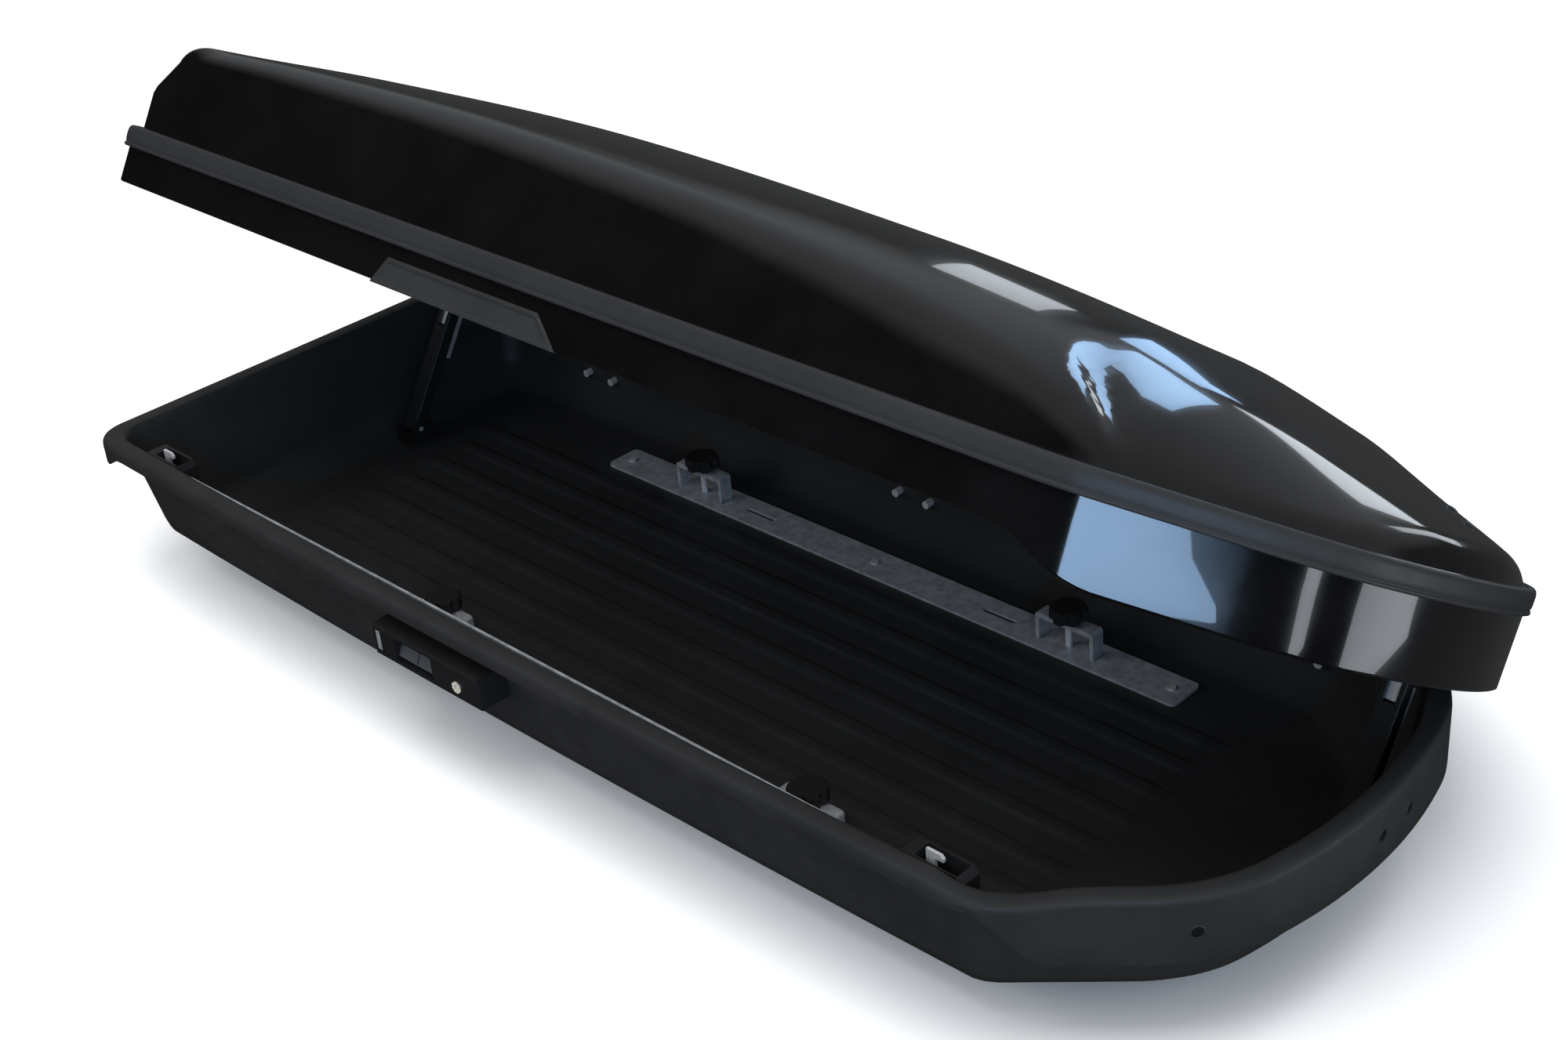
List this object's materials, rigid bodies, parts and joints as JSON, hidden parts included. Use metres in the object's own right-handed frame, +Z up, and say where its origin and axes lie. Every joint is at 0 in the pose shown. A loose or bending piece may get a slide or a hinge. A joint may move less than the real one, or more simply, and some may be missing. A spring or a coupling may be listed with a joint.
{
  "type": "roof cargo box",
  "caption": "Long hard-shell roof cargo box with a pointed nose, its glossy lid hinged open along one side over a shallow tray with bar clamps, latches and a lock.",
  "frame": {"origin": "middle of the four adapter slots, in the plane of the tray's underside", "axes": "+X towards the nose, +Y towards the hinge side, +Z up"},
  "size_m": [1.985, 0.9771, 0.7571],
  "materials": {
    "tray_abs": "fine grained matte charcoal",
    "lid_gloss": "glossy black",
    "band": "satin dark grey",
    "grip": "matte mid grey",
    "galvanised": "galvanised steel, dull",
    "rubber": "matt black rubber",
    "black_plastic": "satin black moulding",
    "reflector": "bright clear strip",
    "steel": "bright zinc-plated steel",
    "black_metal": "black powder coat",
    "lever": "light grey moulding",
    "key": "nickel-plated brass",
    "knob": "black hand knob"
  },
  "bodies": {
    "tray": {"base_tray": "tray_abs", "floor_rail_near": "galvanised", "floor_rail_far": "galvanised", "bar_pads": "rubber", "latch_housing_rear": "black_plastic", "latch_housing_front": "black_plastic", "lock_housing": "black_plastic", "reflector": "reflector", "lock_screws": "steel", "hinge_bracket_rear": "black_metal", "hinge_bracket_middle": "black_metal", "hinge_bracket_front": "black_metal", "hinge_pins": "steel", "hinge_screws": "steel", "rail_bolts": "steel", "lifter_foot_rear": "black_plastic", "lifter_foot_front": "black_plastic", "lifter_pin_rear": "steel", "lifter_pin_front": "steel"},
    "lid": {"lid_shell": "lid_gloss", "lid_band": "band", "lid_stiffener_near": "black_metal", "lid_stiffener_far": "black_metal", "lid_grip": "grip", "striker_rear": "steel", "striker_front": "steel", "hinge_arm_rear": "galvanised", "hinge_arm_middle": "galvanised", "hinge_arm_front": "galvanised", "lifter_bracket_rear": "black_metal", "lifter_bracket_front": "black_metal", "lid_rivets": "black_plastic"},
    "latch": {"latch_rod": "galvanised", "latch_hook_rear": "steel", "latch_hook_front": "steel"},
    "lever": {"release_lever": "lever"},
    "key": {"key_barrel": "key"},
    "lifter_sleeve_rear": {"lifter_sleeve_rear": "black_plastic", "lifter_channel_rear": "galvanised"},
    "lifter_slider_rear": {"lifter_slider_rear": "steel"},
    "stirrup_rear_near": {"clamp_stirrup_rear_near": "galvanised"},
    "knob_rear_near": {"clamp_knob_rear_near": "knob", "clamp_spindle_rear_near": "steel"},
    "stirrup_rear_far": {"clamp_stirrup_rear_far": "galvanised"},
    "knob_rear_far": {"clamp_knob_rear_far": "knob", "clamp_spindle_rear_far": "steel"},
    "lifter_sleeve_front": {"lifter_sleeve_front": "black_plastic", "lifter_channel_front": "galvanised"},
    "lifter_slider_front": {"lifter_slider_front": "steel"},
    "stirrup_front_near": {"clamp_stirrup_front_near": "galvanised"},
    "knob_front_near": {"clamp_knob_front_near": "knob", "clamp_spindle_front_near": "steel"},
    "stirrup_front_far": {"clamp_stirrup_front_far": "galvanised"},
    "knob_front_far": {"clamp_knob_front_far": "knob", "clamp_spindle_front_far": "steel"}
  },
  "joints": [
    {"name": "lid_hinge", "type": "hinge", "parent": "tray", "child": "lid", "pos_m": [0, 0.414, 0.05], "axis": [-1, 0, 0], "range_deg": [-31.4, 0], "stiffness_Nm_per_rad": 45, "springref_deg": 71.62},
    {"name": "latch_slide", "type": "slide", "parent": "tray", "child": "latch", "axis": [1, 0, 0], "range_m": [0, 0.02]},
    {"name": "lever_hinge", "type": "hinge", "parent": "tray", "child": "lever", "pos_m": [-0.1735, -0.4085, 0.139], "axis": [-1, 0, 0], "range_deg": [-24, 0]},
    {"name": "key_turn", "type": "hinge", "parent": "tray", "child": "key", "pos_m": [-0.085, -0.425, 0.122], "axis": [0, -1, 0], "range_deg": [0, 90]},
    {"name": "lifter_turn_rear", "type": "hinge", "parent": "tray", "child": "lifter_sleeve_rear", "pos_m": [-0.865, 0.0884, 0.03], "axis": [-1, 0, 0], "range_deg": [-14.6, 0]},
    {"name": "lifter_slide_rear", "type": "slide", "parent": "lifter_sleeve_rear", "child": "lifter_slider_rear", "axis": [0, 0.5401, 0.8416], "range_m": [-0.157, 0]},
    {"name": "lifter_turn_front", "type": "hinge", "parent": "tray", "child": "lifter_sleeve_front", "pos_m": [0.865, 0.0884, 0.03], "axis": [-1, 0, 0], "range_deg": [-14.6, 0]},
    {"name": "lifter_slide_front", "type": "slide", "parent": "lifter_sleeve_front", "child": "lifter_slider_front", "axis": [0, 0.5401, 0.8416], "range_m": [-0.157, 0]},
    {"name": "stirrup_lift_rear_near", "type": "slide", "parent": "tray", "child": "stirrup_rear_near", "axis": [0, 0, 1], "range_m": [-0.02, 0]},
    {"name": "knob_turn_rear_near", "type": "hinge", "parent": "tray", "child": "knob_rear_near", "pos_m": [-0.35, -0.25, 0.05], "axis": [0, 0, -1], "range_deg": [-720, 0]},
    {"name": "stirrup_lift_rear_far", "type": "slide", "parent": "tray", "child": "stirrup_rear_far", "axis": [0, 0, 1], "range_m": [-0.02, 0]},
    {"name": "knob_turn_rear_far", "type": "hinge", "parent": "tray", "child": "knob_rear_far", "pos_m": [-0.35, 0.25, 0.05], "axis": [0, 0, -1], "range_deg": [-720, 0]},
    {"name": "stirrup_lift_front_near", "type": "slide", "parent": "tray", "child": "stirrup_front_near", "axis": [0, 0, 1], "range_m": [-0.02, 0]},
    {"name": "knob_turn_front_near", "type": "hinge", "parent": "tray", "child": "knob_front_near", "pos_m": [0.35, -0.25, 0.05], "axis": [0, 0, -1], "range_deg": [-720, 0]},
    {"name": "stirrup_lift_front_far", "type": "slide", "parent": "tray", "child": "stirrup_front_far", "axis": [0, 0, 1], "range_m": [-0.02, 0]},
    {"name": "knob_turn_front_far", "type": "hinge", "parent": "tray", "child": "knob_front_far", "pos_m": [0.35, 0.25, 0.05], "axis": [0, 0, -1], "range_deg": [-720, 0]}
  ],
  "couplings": [
    {"joint": "lever_hinge", "follows": "latch_slide", "rad_per_m": -20.943},
    {"joint": "lifter_turn_rear", "follows": "lid_hinge", "ratio": 0.46155},
    {"joint": "lifter_slide_rear", "follows": "lid_hinge", "m_per_rad": 0.28497},
    {"joint": "lifter_turn_front", "follows": "lid_hinge", "ratio": 0.46155},
    {"joint": "lifter_slide_front", "follows": "lid_hinge", "m_per_rad": 0.28497},
    {"joint": "knob_turn_rear_near", "follows": "stirrup_lift_rear_near", "rad_per_m": 628.3},
    {"joint": "knob_turn_rear_far", "follows": "stirrup_lift_rear_far", "rad_per_m": 628.3},
    {"joint": "knob_turn_front_near", "follows": "stirrup_lift_front_near", "rad_per_m": 628.3},
    {"joint": "knob_turn_front_far", "follows": "stirrup_lift_front_far", "rad_per_m": 628.3}
  ]
}
